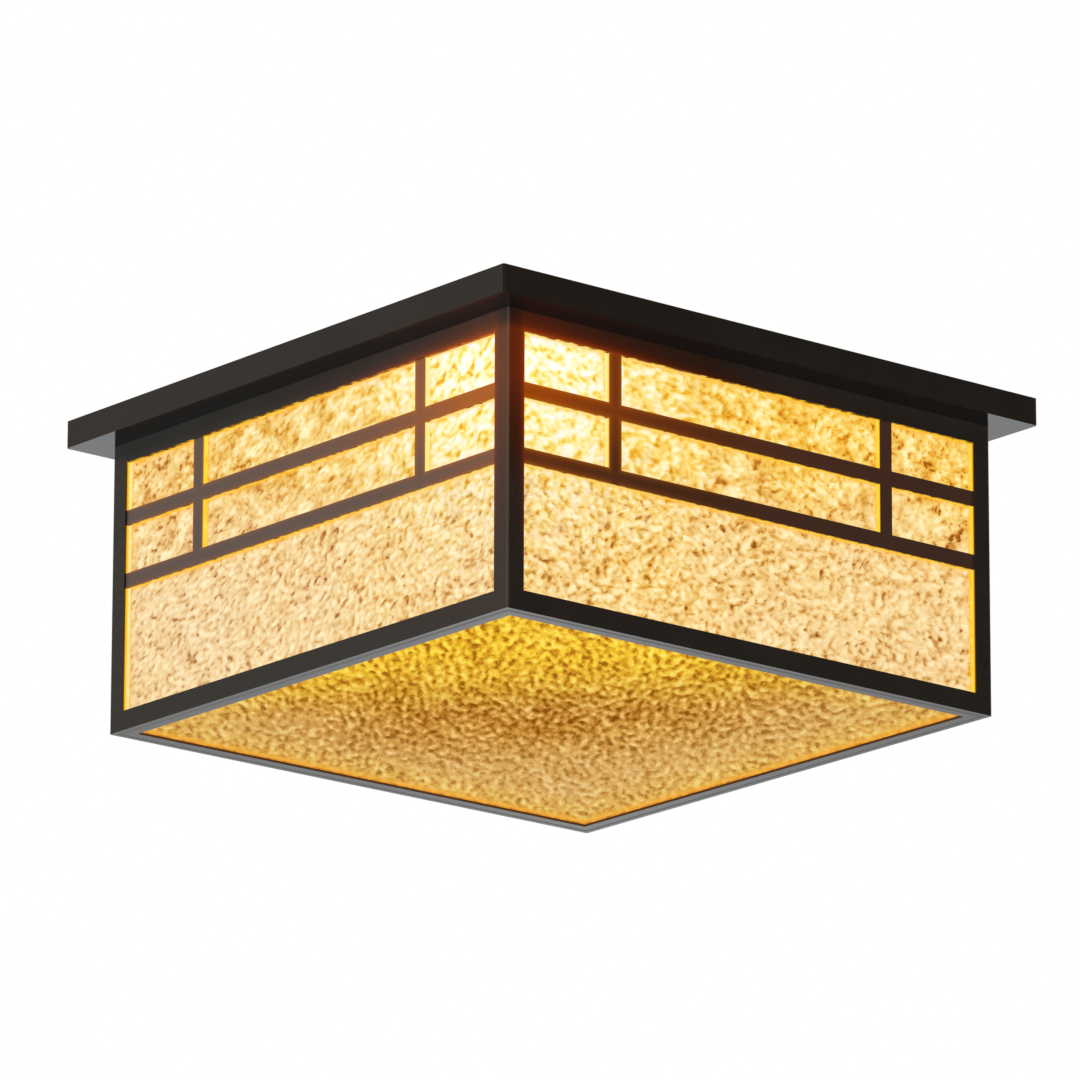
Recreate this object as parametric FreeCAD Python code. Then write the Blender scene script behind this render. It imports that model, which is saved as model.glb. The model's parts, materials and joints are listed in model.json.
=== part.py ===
"""Square flush-mount porch ceiling lantern with an amber-glazed cage and a hinged glass bottom.

Millimetres, +Z up.  The origin is the centre of the ceiling plane and the lantern hangs below it.
The side that faces -Y is the front, +X the right, +Y the back and -X the left.
"""
import FreeCAD, Part
import math
import os

from FreeCAD import Vector

# ---------------------------------------------------------------- driving dimensions
# Canopy: a square sheet tray, open towards the ceiling
canopy_overhang = 16.5      # how far the rim stands out past the cage
canopy_depth = 13.7         # height of the rim
canopy_sheet = 1.2
canopy_corner_radius = 1.0
gasket_width = 10.0
gasket_gap = 0.3            # foam strip to the rim's inner wall

# Cage: angle posts, rails and flat lattice bars
body_side = 300.0
body_height = 144.0
frame_face = 9.8            # width of a post's leg and of a rail, as seen from outside
frame_thick = 2.5
post_edge_radius = 0.7
lattice_bar = 7.6           # width of every lattice bar
lattice_thick = 1.3
upper_light_height = 24.0   # each of the two short rows of glass
corner_light_width = 52.1   # glass between a post and the upright bar beside it
flange_width = 14.5         # inward leg of a top rail
flange_thick = 2.0
flange_corner_gap = 1.0

# Side glazing
glass_thick = 3.0
seal_thick = 1.5
glass_side_gap = 0.5        # glass edge to the inner plane of the next side's glass
glass_lift = 3.5            # free height over the glass, so that it lifts into its channel
channel_sheet = 0.8
channel_gap = 0.3           # glass to the channel's upstand
glass_foot_gap = 0.2        # glass edge to the channel's ledge
clip_sheet = 1.0
clip_width = 14.0
clip_drop = 12.0
clip_offset = 100.0         # clip to the middle of its side

# Bottom door
door_gap = 0.6              # door to the rails around it
door_band = 6.5             # flat width of the door's frame
door_sheet = 1.2
door_bend_radius = 1.6
door_seal_thick = 0.8
door_glass_thick = 3.0
door_glass_gap = 2.2        # glass edge to the door's upstand
door_leg_margin = 0.2       # upstand above the glass
door_tab_sheet = 0.8
door_tab_width = 16.0
door_tab_reach = 7.0
door_tab_offset = 90.0
door_top_clearance = 1.6    # upstand to the glazing channel above it
hinge_setback = 2.6         # hinge axis to the door's back edge, and up from its face
hinge_pin_radius = 1.0
hinge_pin_head_radius = 1.3
hinge_pin_head = 1.0
hinge_pin_bite = 1.4        # how far the pin enters the post
hinge_running_clearance = 0.05
hinge_end_clearance = 0.2

# Magnetic catch
magnet_offset = 60.0        # magnet to the middle of the front
magnet_radius = 4.5
magnet_height = 4.2
magnet_gap = 0.3            # magnet to the door's strike tab
magnet_inset = 6.4          # magnet's axis to the glazing channel's upstand
catch_sheet = 1.0
catch_width = 14.0
catch_reach = 12.0

# Ceiling strap and what hangs from it
strap_length = 150.0
strap_width = 25.0
strap_thick = 1.5
slot_spacing = 79.4         # middles of the two slots for the ceiling box's screws
slot_length = 14.2
slot_width = 4.6
stud_radius = 2.5
stud_spacing = 120.0
stud_clearance = 0.3
thread_clearance = 0.05     # a threaded shank to the tapped hole around it
nut_flats = 8.0
nut_height = 4.0
cap_nut_room = 0.6          # free depth beyond the stud's end
stud_grip = 5.0             # thread inside a cap nut
washer_radius = 6.0
washer_thick = 1.0
ground_screw_x = 20.0
ground_screw_radius = 2.0
ground_screw_head_radius = 4.0
drive_slot_width = 0.8
drive_slot_depth = 0.8

# Wire entry
grommet_y = 34.0
grommet_bore_radius = 5.0
grommet_neck_radius = 7.0
grommet_flange_radius = 9.0
grommet_flange = 1.6

# Reflector
reflector_depth = 11.0
reflector_sheet = 1.0
reflector_gap = 4.0         # reflector wall to the top rails' flanges

# Lampholders and lamps; both lie along the diagonal through the front right corner
lamp_angle = -45.0
holder_start = 35.0         # lantern's axis to a lampholder's base
holder_radius = 18.0
holder_length = 38.0
holder_floor = 8.0
holder_wall = 3.8
holder_mouth_chamfer = 0.95
shell_gap = 0.3             # screw shell to the lampholder's wall
shell_sheet = 0.5
shell_length = 25.0
shell_mouth_gap = 2.8       # centre contact to the shell's turned-in lip
contact_radius = 5.0
contact_thick = 1.4
contact_sheet = 0.7
contact_button_radius = 2.5
contact_gap = 0.3           # lamp tip to the centre contact
bracket_width = 30.0
bracket_sheet = 1.2
bracket_lead_radius = 5.0
bracket_screw_offset = 18.0
holder_screw_offset = 11.0
holder_screw_bite = 6.0
terminal_screw_bite = 5.0
terminal_side_gap = 1.0     # beside a terminal screw's head
lamp_clearance = 4.0        # lamp to the reflector
lamp_radius = 30.0
lamp_length = 110.0
lamp_wall = 1.0
shoulder_angle = 32.0       # below the widest circle, where the neck begins
neck_bend = 0.36            # how far the neck has opened half way up, of its whole flare
lamp_cap_radius = 13.0
lamp_cap_length = 25.0
lamp_cap_sheet = 0.6
lamp_tip_radius = 4.5
lamp_tip_height = 3.0
lamp_tip_disc = 1.0
lamp_base_radius = 11.0     # insulator where it meets the cap
stem_radius = 3.0
filament_start = 24.0       # cap to the filaments' near end
filament_length = 36.0
filament_radius = 1.0
filament_wire_radius = 0.5
filament_spread = 9.0
filament_count = 4
thread_groove = 0.5
thread_pitch = 3.6
thread_end = 3.6            # plain band at each end of a lamp's cap

# Small screws, all of one size
screw_radius = 1.5
screw_head_radius = 2.9
screw_head_height = 1.8
screw_recess_radius = 0.9
screw_recess_depth = 1.0
screw_clearance = 0.2
cage_screw_offset = 50.0
cage_screw_tail = 3.0

# ---------------------------------------------------------------- places worked out from them
body_half = body_side / 2
canopy_half = body_half + canopy_overhang
cage_top = -canopy_depth
cage_bottom = cage_top - body_height
canopy_floor_top = cage_top + canopy_sheet

post_inner = body_half - frame_face          # edge of the lights beside a post
frame_inner = body_half - frame_thick        # inner plane of posts, rails and lattice
glass_outer = frame_inner - seal_thick
glass_inner = glass_outer - glass_thick
glass_half = glass_inner - glass_side_gap

door_leg_top = (cage_bottom + door_sheet + door_seal_thick + door_glass_thick
                + door_leg_margin)
door_tab_top = door_leg_top + door_tab_sheet
ledge_bottom = door_leg_top + door_top_clearance
channel_inner = glass_inner - channel_gap - channel_sheet
glass_foot = ledge_bottom + channel_sheet + glass_foot_gap
glass_head = cage_top - flange_thick - glass_lift

top_rail_bottom = cage_top - frame_face
upper_bar_top = top_rail_bottom - upper_light_height
upper_bar_bottom = upper_bar_top - lattice_bar
lower_bar_top = upper_bar_bottom - upper_light_height
lower_bar_bottom = lower_bar_top - lattice_bar
bottom_rail_top = cage_bottom + frame_face
upright_outer = post_inner - corner_light_width
upright_inner = upright_outer - lattice_bar

flange_inner = frame_inner - flange_width
flange_half = flange_inner - flange_corner_gap
reflector_half = flange_inner - reflector_gap
reflector_under = cage_top - reflector_depth

door_half = frame_inner - door_gap
door_window = door_half - door_band
door_leg_inner = door_half - door_sheet
door_glass_half = door_leg_inner - door_glass_gap
hinge_y = door_half - hinge_setback
hinge_z = cage_bottom + hinge_setback

magnet_y = channel_inner - magnet_inset
magnet_bottom = door_tab_top + magnet_gap
catch_bottom = magnet_bottom + magnet_height

bracket_end = holder_start - bracket_sheet
lamp_axis_z = reflector_under - lamp_clearance - lamp_radius
lamp_tip = holder_floor + contact_thick + contact_gap
lamp_cap_end = lamp_tip + lamp_tip_height + lamp_cap_length
holder_cavity = holder_radius - holder_wall
terminal_flat = holder_radius - screw_head_height
terminal_height = holder_floor / 2
shell_radius = holder_cavity - shell_gap

QUARTER_TURNS = tuple(90 * step for step in range(4))
SIDES = tuple(zip(("front", "right", "back", "left"), QUARTER_TURNS))
CORNERS = tuple(zip(("front_right", "back_right", "back_left", "front_left"), QUARTER_TURNS))
LAMPS = (("front", lamp_angle), ("back", lamp_angle + 180))
UP = Vector(0, 0, 1)


# ---------------------------------------------------------------- small shape helpers
def block(x, y, z):
    """Box between the two ends given for each axis, in either order."""
    low = [min(pair) for pair in (x, y, z)]
    size = [abs(pair[1] - pair[0]) for pair in (x, y, z)]
    return Part.makeBox(*size, Vector(*low))


def rod(radius, start, end):
    """Cylinder from one point to another."""
    start = Vector(*start)
    along = Vector(*end) - start
    return Part.makeCylinder(radius, along.Length, start, along)


def square(half, z):
    """Square block, centred on the lantern's axis."""
    return block((-half, half), (-half, half), z)


def prism(points, z):
    """Upright prism over a polygon in the XY plane."""
    corners = [Vector(x, y, z[0]) for x, y in points]
    outline = Part.makePolygon(corners + corners[:1])
    return Part.Face(outline).extrude(Vector(0, 0, z[1] - z[0]))


def hexagon(flats, x, y, z):
    """Upright hexagonal prism of a given width across flats."""
    reach = flats / math.sqrt(3)
    points = []
    for step in range(6):
        angle = math.radians(60 * step)
        points.append((x + reach * math.cos(angle), y + reach * math.sin(angle)))
    return prism(points, z)


def lathe(edges):
    """Solid turned about Z from edges that close an outline in the XZ plane."""
    face = Part.Face(Part.Wire(Part.__sortEdges__(edges)))
    return face.revolve(Vector(0, 0, 0), UP, 360)


def outline(points):
    """Straight edges around a closed XZ outline."""
    corners = [Vector(radius, 0, height) for radius, height in points]
    return [Part.makeLine(a, b) for a, b in zip(corners, corners[1:] + corners[:1])]


def tube(outer, inner, z):
    """Upright tube about the Z axis."""
    return rod(outer, (0, 0, z[0]), (0, 0, z[1])).cut(rod(inner, (0, 0, z[0]), (0, 0, z[1])))


def turned(shape, degrees):
    """Copy of a shape, turned about the lantern's axis."""
    copy = shape.copy()
    copy.rotate(Vector(0, 0, 0), UP, degrees)
    return copy


def around(shape):
    """The same shape on each of the four sides."""
    return [turned(shape, degrees) for degrees in QUARTER_TURNS]


def save(node, *shapes):
    """Write one node: every solid of the shapes given."""
    solids = [solid for shape in shapes for solid in shape.removeSplitter().Solids]
    whole = solids[0] if len(solids) == 1 else Part.makeCompound(solids)
    whole.exportStep("parts/" + node + ".step")
    print(node, len(solids), round(whole.Volume, 1), whole.isValid())


# ---------------------------------------------------------------- canopy and ceiling strap
def canopy_pan():
    tray = square(canopy_half, (cage_top, 0))
    upright = [edge for edge in tray.Edges if abs(edge.tangentAt(edge.FirstParameter).z) > 0.9]
    tray = tray.makeFillet(canopy_corner_radius, upright)
    tray = tray.cut(square(canopy_half - canopy_sheet, (canopy_floor_top, 0)))
    holes = [rod(grommet_neck_radius, (0, grommet_y, cage_top), (0, grommet_y, canopy_floor_top))]
    for x in (-stud_spacing / 2, stud_spacing / 2):
        holes.append(rod(stud_radius + stud_clearance, (x, 0, cage_top), (x, 0, canopy_floor_top)))
    for x in (-cage_screw_offset, cage_screw_offset):
        y = -cage_screw_line()
        hole = rod(screw_radius + screw_clearance, (x, y, cage_top), (x, y, canopy_floor_top))
        holes.extend(around(hole))
    return tray.cut(holes)


def ceiling_gasket():
    outer = canopy_half - canopy_sheet - gasket_gap
    height = (canopy_floor_top, 0)
    return square(outer, height).cut(square(outer - gasket_width, height))


def slot(x, z):
    """Cutter for one rounded slot of the strap, long in X."""
    straight = (slot_length - slot_width) / 2
    radius = slot_width / 2
    middle = block((x - straight, x + straight), (-radius, radius), z)
    ends = [rod(radius, (x + side * straight, 0, z[0]), (x + side * straight, 0, z[1]))
            for side in (-1, 1)]
    return middle.fuse(ends)


def mounting_strap():
    height = (-strap_thick, 0)
    strap = block((-strap_length / 2, strap_length / 2), (-strap_width / 2, strap_width / 2), height)
    cutters = [slot(side * slot_spacing / 2, height) for side in (-1, 1)]
    for x, radius in ((-stud_spacing / 2, stud_radius), (stud_spacing / 2, stud_radius),
                      (ground_screw_x, ground_screw_radius)):
        cutters.append(rod(radius + thread_clearance, (x, 0, height[0]), (x, 0, height[1])))
    return strap.cut(cutters)


def strap_studs():
    end = reflector_under - washer_thick - stud_grip
    return [rod(stud_radius, (x, 0, end), (x, 0, 0)) for x in (-stud_spacing / 2, stud_spacing / 2)]


def nut(x, top):
    """Plain hexagon nut under the height given."""
    z = (top - nut_height, top)
    bore = rod(stud_radius + thread_clearance, (x, 0, z[0]), (x, 0, z[1]))
    return hexagon(nut_flats, x, 0, z).cut(bore)


def strap_lock_nuts():
    return [nut(x, -strap_thick) for x in (-stud_spacing / 2, stud_spacing / 2)]


def stud_washers():
    washers = []
    for x in (-stud_spacing / 2, stud_spacing / 2):
        low, high = (x, 0, reflector_under - washer_thick), (x, 0, reflector_under)
        washers.append(rod(washer_radius, low, high).cut(rod(stud_radius + stud_clearance, low, high)))
    return washers


def cap_nuts():
    """Closed nuts below the reflector: a hexagon as long as the grip, then a dome."""
    nuts = []
    top = reflector_under - washer_thick
    dome_start = top - stud_grip
    for x in (-stud_spacing / 2, stud_spacing / 2):
        body = hexagon(nut_flats, x, 0, (dome_start, top))
        dome = Part.makeSphere(nut_flats / 2, Vector(x, 0, dome_start))
        bore = rod(stud_radius + thread_clearance, (x, 0, dome_start - cap_nut_room), (x, 0, top))
        nuts.append(body.fuse(dome).cut(bore))
    return nuts


def ground_screw():
    x = ground_screw_x
    shank = rod(ground_screw_radius, (x, 0, -strap_thick), (x, 0, 0))
    head_end = -strap_thick - screw_head_height
    head = rod(ground_screw_head_radius, (x, 0, head_end), (x, 0, -strap_thick))
    drive = block((x - ground_screw_head_radius, x + ground_screw_head_radius),
                  (-drive_slot_width / 2, drive_slot_width / 2), (head_end, head_end + drive_slot_depth))
    return shank.fuse(head).cut(drive)


def wire_grommet():
    low = cage_top - grommet_flange
    high = canopy_floor_top + grommet_flange
    section = [(grommet_bore_radius, low), (grommet_flange_radius, low), (grommet_flange_radius, cage_top),
               (grommet_neck_radius, cage_top), (grommet_neck_radius, canopy_floor_top),
               (grommet_flange_radius, canopy_floor_top), (grommet_flange_radius, high),
               (grommet_bore_radius, high)]
    grommet = lathe(outline(section))
    grommet.translate(Vector(0, grommet_y, 0))
    return grommet


# ---------------------------------------------------------------- cage
def corner_post():
    """Angle post of the front right corner."""
    low, high = cage_bottom, cage_top
    post = block((post_inner, body_half), (-body_half, -post_inner), (low, high))
    post = post.cut(block((post_inner, frame_inner), (-frame_inner, -post_inner), (low, high)))
    outer = [edge for edge in post.Edges
             if edge.Length > body_height / 2 and edge.BoundBox.XMin > frame_inner
             and edge.BoundBox.YMax < -frame_inner]
    return post.makeFillet(post_edge_radius, outer)


def hinge_bores():
    """Blind running bores for the hinge pins, in the back posts."""
    radius = hinge_pin_radius + hinge_running_clearance
    end = frame_inner + hinge_pin_bite + hinge_end_clearance
    return [rod(radius, (side * frame_inner, hinge_y, hinge_z), (side * end, hinge_y, hinge_z))
            for side in (-1, 1)]


def cage_screw_line():
    """Distance of the cage screws from the lantern's axis."""
    return frame_inner - flange_width / 2


def clip_screw_line():
    """Distance of the clip screws from the lantern's axis."""
    return (glass_inner - clip_sheet + flange_inner) / 2


def top_rail():
    """Angle rail of the front side, with its flange under the canopy."""
    face = block((-post_inner, post_inner), (-body_half, -frame_inner), (top_rail_bottom, cage_top))
    flange = block((-flange_half, flange_half), (-frame_inner, -flange_inner),
                   (cage_top - flange_thick, cage_top))
    holes = []
    for x, y in ((cage_screw_offset, cage_screw_line()), (clip_offset, clip_screw_line())):
        for side in (-1, 1):
            holes.append(rod(screw_radius + thread_clearance, (side * x, -y, cage_top - flange_thick),
                             (side * x, -y, cage_top)))
    return face.fuse(flange).cut(holes)


def bottom_rail():
    """Rail of the front side, with the channel in which the glass stands."""
    length = (-post_inner, post_inner)
    face = block(length, (-body_half, -frame_inner), (cage_bottom, bottom_rail_top))
    ledge = block(length, (-frame_inner, -channel_inner), (ledge_bottom, ledge_bottom + channel_sheet))
    upstand = block(length, (-channel_inner - channel_sheet, -channel_inner),
                    (ledge_bottom, bottom_rail_top))
    return face.fuse([ledge, upstand])


def bar_pattern(y):
    """The two level bars and the two short upright bars of one side."""
    upper = block((-post_inner, post_inner), y, (upper_bar_bottom, upper_bar_top))
    lower = block((-post_inner, post_inner), y, (lower_bar_bottom, lower_bar_top))
    uprights = [block((side * upright_inner, side * upright_outer), y, (lower_bar_top, top_rail_bottom))
                for side in (-1, 1)]
    return upper.fuse([lower] + uprights)


def lattice():
    return bar_pattern((-frame_inner - lattice_thick, -frame_inner))


def side_glass():
    return block((-glass_half, glass_half), (-glass_outer, -glass_inner), (glass_foot, glass_head))


def side_seal():
    """Glazing seal between the frame and one glass, behind every bar."""
    depth = (-frame_inner, -glass_outer)
    sheet = block((-glass_half, glass_half), depth, (glass_foot, glass_head))
    lights = block((-post_inner, post_inner), depth, (bottom_rail_top, top_rail_bottom))
    return sheet.cut(lights).fuse(bar_pattern(depth))


def glass_clips():
    """Two spring clips of the front side, under the flange and behind the glass."""
    clips = []
    top = cage_top - flange_thick
    for side in (-1, 1):
        x = (side * clip_offset - clip_width / 2, side * clip_offset + clip_width / 2)
        flat = block(x, (-glass_inner, -flange_inner), (top - clip_sheet, top))
        leg = block(x, (-glass_inner, -glass_inner + clip_sheet), (top - clip_drop, top))
        y = -clip_screw_line()
        hole = rod(screw_radius + screw_clearance, (side * clip_offset, y, top - clip_sheet),
                   (side * clip_offset, y, top))
        clips.append(flat.fuse(leg).cut(hole))
    return clips


def screw(head_seat, tip):
    """Pan-head screw: the head stands on the seat point and the shank runs to the tip."""
    seat = Vector(*head_seat)
    inward = (Vector(*tip) - seat).normalize()
    head_end = seat - inward * screw_head_height
    shank = rod(screw_radius, tuple(seat), tip)
    head = rod(screw_head_radius, tuple(head_end), tuple(seat))
    recess = rod(screw_recess_radius, tuple(head_end), tuple(head_end + inward * screw_recess_depth))
    return shank.fuse(head).cut(recess)


def clip_screws():
    seat = cage_top - flange_thick - clip_sheet
    y = -clip_screw_line()
    return [screw((side * clip_offset, y, seat), (side * clip_offset, y, cage_top)) for side in (-1, 1)]


def cage_screws():
    y = -cage_screw_line()
    tip = cage_top - flange_thick - cage_screw_tail
    return [screw((side * cage_screw_offset, y, canopy_floor_top), (side * cage_screw_offset, y, tip))
            for side in (-1, 1)]


# ---------------------------------------------------------------- reflector and lampholders
def reflector_tray():
    tray = square(reflector_half, (reflector_under, cage_top))
    tray = tray.cut(square(reflector_half - reflector_sheet, (reflector_under + reflector_sheet, cage_top)))
    floor = (reflector_under, reflector_under + reflector_sheet)
    holes = [rod(bracket_lead_radius, (0, 0, floor[0]), (0, 0, floor[1]))]
    for side in (-1, 1):
        x = side * stud_spacing / 2
        holes.append(rod(stud_radius + stud_clearance, (x, 0, floor[0]), (x, 0, floor[1])))
        x, y = on_diagonal(side * bracket_screw_offset)
        holes.append(rod(screw_radius + screw_clearance, (x, y, floor[0]), (x, y, floor[1])))
    return tray.cut(holes)


def on_diagonal(distance):
    """Point of the lamps' diagonal, seen from above."""
    angle = math.radians(lamp_angle)
    return distance * math.cos(angle), distance * math.sin(angle)


def lampholder_bracket():
    """Bridge under the reflector; its two ears carry the lampholders back to back."""
    wide = (-bracket_width / 2, bracket_width / 2)
    foot = lamp_axis_z - bracket_width / 2
    base = block((-holder_start, holder_start), wide, (reflector_under - bracket_sheet, reflector_under))
    ears = [block((side * bracket_end, side * holder_start), wide, (foot, reflector_under))
            for side in (-1, 1)]
    under = reflector_under - bracket_sheet
    holes = [rod(bracket_lead_radius, (0, 0, under), (0, 0, reflector_under))]
    for side in (-1, 1):
        x = side * bracket_screw_offset
        holes.append(rod(screw_radius + screw_clearance, (x, 0, under), (x, 0, reflector_under)))
        for y, radius in ((-holder_screw_offset, screw_radius + screw_clearance),
                          (holder_screw_offset, screw_radius + screw_clearance),
                          (0, bracket_lead_radius)):
            holes.append(rod(radius, (side * bracket_end, y, lamp_axis_z),
                             (side * holder_start, y, lamp_axis_z)))
    return turned(base.fuse(ears).cut(holes), lamp_angle)


def bracket_screws():
    tip = reflector_under + reflector_sheet + nut_height
    seat = reflector_under - bracket_sheet
    return [screw(on_diagonal(side * bracket_screw_offset) + (seat,),
                  on_diagonal(side * bracket_screw_offset) + (tip,)) for side in (-1, 1)]


def bracket_nuts():
    nuts = []
    z = (reflector_under + reflector_sheet, reflector_under + reflector_sheet + nut_height)
    for side in (-1, 1):
        x, y = on_diagonal(side * bracket_screw_offset)
        bore = rod(screw_radius + thread_clearance, (x, y, z[0]), (x, y, z[1]))
        nuts.append(hexagon(nut_flats, x, y, z).cut(bore))
    return nuts


def along_lamp(shape, angle):
    """Place a shape made about +Z, from a lampholder's base outwards, along its lamp.

    The shape's own Y axis stays level, across the lamp, and its X axis ends up pointing down.
    """
    copy = shape.copy()
    copy.rotate(Vector(0, 0, 0), Vector(0, 1, 0), 90)
    copy.translate(Vector(holder_start, 0, lamp_axis_z))
    return turned(copy, angle)


def lampholder_body():
    body = rod(holder_radius, (0, 0, 0), (0, 0, holder_length))
    mouth = [edge for edge in body.Edges if edge.BoundBox.ZMin > holder_length - holder_wall
             and edge.BoundBox.ZLength < holder_wall]
    body = body.makeChamfer(holder_mouth_chamfer, mouth)
    cutters = [rod(holder_cavity, (0, 0, holder_floor), (0, 0, holder_length))]
    tapped = screw_radius + thread_clearance
    for side in (-1, 1):
        across = side * holder_screw_offset
        cutters.append(rod(tapped, (0, across, 0), (0, across, holder_screw_bite)))
        flat, deep = side * terminal_flat, side * (terminal_flat - terminal_screw_bite)
        cutters.append(rod(tapped, (deep, 0, terminal_height), (flat, 0, terminal_height)))
        recess = (-screw_head_radius - terminal_side_gap, screw_head_radius + terminal_side_gap)
        cutters.append(block((flat, side * holder_radius), recess, (0, holder_floor)))
    return body.cut(cutters)


def holder_screws():
    screws = []
    for side in (-1, 1):
        for across in (-holder_screw_offset, holder_screw_offset):
            seat = (side * bracket_end, across, lamp_axis_z)
            tip = (side * (holder_start + holder_screw_bite), across, lamp_axis_z)
            screws.append(turned(screw(seat, tip), lamp_angle))
    return screws


def terminal_screws():
    screws = []
    for _, angle in LAMPS:
        for side in (-1, 1):
            seat = (side * terminal_flat, 0, terminal_height)
            tip = (side * (terminal_flat - terminal_screw_bite), 0, terminal_height)
            screws.append(along_lamp(screw(seat, tip), angle))
    return screws


def screw_shell():
    """Threaded metal shell that grips the lamp's cap."""
    start = holder_floor
    wall = tube(shell_radius, shell_radius - shell_sheet, (start, start + shell_length))
    lip = tube(shell_radius, contact_radius + shell_mouth_gap, (start, start + shell_sheet))
    return wall.fuse(lip)


def centre_contact():
    """Sprung tongue under the lamp's tip."""
    disc = rod(contact_radius, (0, 0, holder_floor), (0, 0, holder_floor + contact_sheet))
    button = rod(contact_button_radius, (0, 0, holder_floor), (0, 0, holder_floor + contact_thick))
    return disc.fuse(button)


# ---------------------------------------------------------------- lamps
def globe_edges(inset):
    """Outline of the lamp's glass in the XZ plane, inset by the wall for its inner face."""
    ball = lamp_radius - inset
    neck = lamp_cap_radius - inset
    centre = lamp_tip + lamp_length - lamp_radius
    foot = Vector(0, 0, lamp_cap_end)
    neck_foot = Vector(neck, 0, lamp_cap_end)
    crown = Vector(0, 0, centre + ball)
    shoulder = on_ball(ball, centre, -shoulder_angle)
    bend = Vector(neck + (shoulder.x - neck) * neck_bend, 0, (lamp_cap_end + shoulder.z) / 2)
    return [Part.makeLine(foot, neck_foot),
            Part.Arc(neck_foot, bend, shoulder).toShape(),
            Part.Arc(shoulder, on_ball(ball, centre, shoulder_angle), crown).toShape(),
            Part.makeLine(crown, foot)]


def on_ball(radius, centre, degrees):
    """Point of the lamp's round end, a given angle above its widest circle."""
    angle = math.radians(degrees)
    return Vector(radius * math.cos(angle), 0, centre + radius * math.sin(angle))


def lamp_globe():
    return lathe(globe_edges(0)).cut(lathe(globe_edges(lamp_wall)))


def lamp_cap():
    """Metal screw cap with rolled thread grooves."""
    start = lamp_tip + lamp_tip_height
    solid = rod(lamp_cap_radius, (0, 0, start), (0, 0, lamp_cap_end))
    inside = rod(lamp_cap_radius - lamp_cap_sheet - thread_groove, (0, 0, start + lamp_cap_sheet),
                 (0, 0, lamp_cap_end))
    grooves = []
    for turn in range(int((lamp_cap_length - 2 * thread_end) / thread_pitch)):
        height = start + thread_end + thread_pitch * turn
        grooves.append(tube(lamp_cap_radius, lamp_cap_radius - thread_groove,
                            (height, height + thread_pitch / 2)))
    return solid.cut([inside] + grooves)


def lamp_base():
    """Insulator and tip contact below the cap."""
    start = lamp_tip + lamp_tip_height
    section = [(0, lamp_tip), (lamp_tip_radius, lamp_tip), (lamp_tip_radius, lamp_tip + lamp_tip_disc),
               (lamp_base_radius, start), (0, start)]
    return lathe(outline(section))


def lamp_filament():
    """Glass stem with four upright filaments on wire arms."""
    low = lamp_cap_end
    start = low + filament_start
    end = start + filament_length
    pieces = [rod(stem_radius, (0, 0, low), (0, 0, end + filament_wire_radius))]
    foot_radius = lamp_cap_radius - lamp_wall - thread_clearance
    pieces.append(rod(foot_radius, (0, 0, low), (0, 0, low + lamp_wall)))
    for step in range(filament_count):
        angle = math.radians(360 / filament_count * step)
        x, y = filament_spread * math.cos(angle), filament_spread * math.sin(angle)
        pieces.append(rod(filament_radius, (x, y, start), (x, y, end)))
        for height in (start + filament_radius, end - filament_radius):
            pieces.append(rod(filament_wire_radius, (0, 0, height), (x, y, height)))
    return pieces[0].fuse(pieces[1:])


# ---------------------------------------------------------------- bottom door
def door_frame():
    body = square(door_half, (cage_bottom, door_leg_top))
    outer = [edge for edge in body.Edges if edge.BoundBox.ZMax < cage_bottom + door_sheet / 2]
    body = body.makeFillet(door_bend_radius, outer)
    body = body.cut([square(door_leg_inner, (cage_bottom + door_sheet, door_leg_top)),
                     square(door_window, (cage_bottom, door_leg_top))])
    tabs = [door_tab(side, y) for side in (-1, 1) for y in (-door_tab_offset, 0, door_tab_offset)]
    tabs += [strike_tab(side) for side in (-1, 1)]
    bores = [rod(hinge_pin_radius, (side * door_leg_inner, hinge_y, hinge_z),
                 (side * door_half, hinge_y, hinge_z)) for side in (-1, 1)]
    return body.fuse(tabs).cut(bores)


def door_tab(side, y):
    """Tab bent inward over the glass, on the left or right of the door."""
    return block((side * (door_half - door_tab_reach), side * door_half),
                 (y - door_tab_width / 2, y + door_tab_width / 2), (door_leg_top, door_tab_top))


def strike_tab(side):
    """Longer tab at the front, which the catch magnet holds."""
    inner = magnet_y - magnet_radius
    return block((side * magnet_offset - door_tab_width / 2, side * magnet_offset + door_tab_width / 2),
                 (-door_half, -inner), (door_leg_top, door_tab_top))


def door_seal():
    height = (cage_bottom + door_sheet, cage_bottom + door_sheet + door_seal_thick)
    return square(door_glass_half, height).cut(square(door_window, height))


def door_glass():
    low = cage_bottom + door_sheet + door_seal_thick
    return square(door_glass_half, (low, low + door_glass_thick))


def hinge_pins():
    pins = []
    for side in (-1, 1):
        head_end = (side * (door_leg_inner - hinge_pin_head), hinge_y, hinge_z)
        shoulder = (side * door_leg_inner, hinge_y, hinge_z)
        tip = (side * (frame_inner + hinge_pin_bite), hinge_y, hinge_z)
        pins.append(rod(hinge_pin_head_radius, head_end, shoulder).fuse(rod(hinge_pin_radius, shoulder, tip)))
    return pins


def magnet_brackets():
    brackets = []
    for side in (-1, 1):
        x = (side * magnet_offset - catch_width / 2, side * magnet_offset + catch_width / 2)
        leg = block(x, (-channel_inner, -channel_inner + catch_sheet),
                    (ledge_bottom, catch_bottom + catch_sheet))
        shelf = block(x, (-channel_inner, -channel_inner + catch_reach),
                      (catch_bottom, catch_bottom + catch_sheet))
        brackets.append(leg.fuse(shelf))
    return brackets


def catch_magnets():
    return [rod(magnet_radius, (side * magnet_offset, -magnet_y, magnet_bottom),
                (side * magnet_offset, -magnet_y, catch_bottom)) for side in (-1, 1)]


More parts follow.
